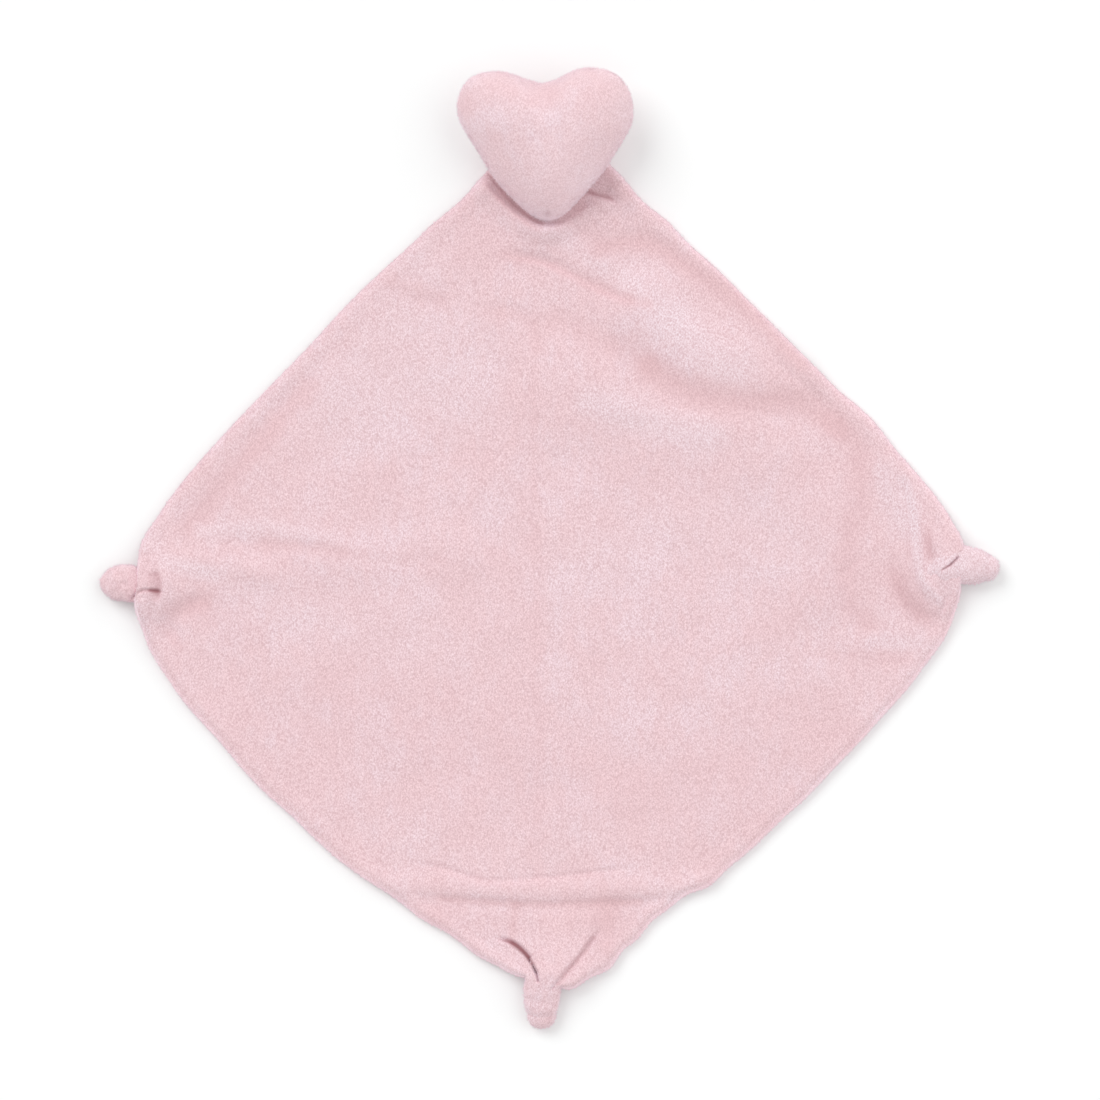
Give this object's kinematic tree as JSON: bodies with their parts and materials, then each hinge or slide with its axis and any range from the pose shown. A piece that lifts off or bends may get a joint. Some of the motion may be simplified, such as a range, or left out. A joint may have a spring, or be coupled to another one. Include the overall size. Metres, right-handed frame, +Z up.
{
  "type": "comfort blanket",
  "caption": "Square double plush comfort blanket lying flat, with knots tied in its side and bottom corners and a stuffed heart sewn on the top corner.",
  "frame": {"origin": "middle of the lying part in plan, on the table it lies on", "axes": "+Z up from the table, +Y towards the heart, +X to the right of the heart seen from above"},
  "size_m": [0.45, 0.4802, 0.0382],
  "materials": {
    "blanket_plush": "short curly pile",
    "knot_plush": "short curly pile",
    "heart_plush": "short curly pile",
    "fibre_fill": "loose fibre",
    "sewing_thread": "spun thread"
  },
  "bodies": {
    "blanket": {"blanket_front_panel": "blanket_plush", "blanket_back_panel": "blanket_plush", "upper_edge_thread": "sewing_thread", "lower_left_edge_thread": "sewing_thread", "lower_right_edge_thread": "sewing_thread", "left_knot": "knot_plush", "right_knot": "knot_plush", "bottom_knot": "knot_plush", "heart_stitches": "sewing_thread"},
    "heart": {"heart_front_panel": "heart_plush", "heart_back_panel": "heart_plush", "heart_filling": "fibre_fill", "heart_edge_thread": "sewing_thread"}
  },
  "joints": [
    {"name": "heart_lift", "type": "hinge", "parent": "blanket", "child": "heart", "pos_m": [0.00145, 0.21266, 0.00605], "axis": [-1, 0, 0], "range_deg": [0, 30]}
  ]
}
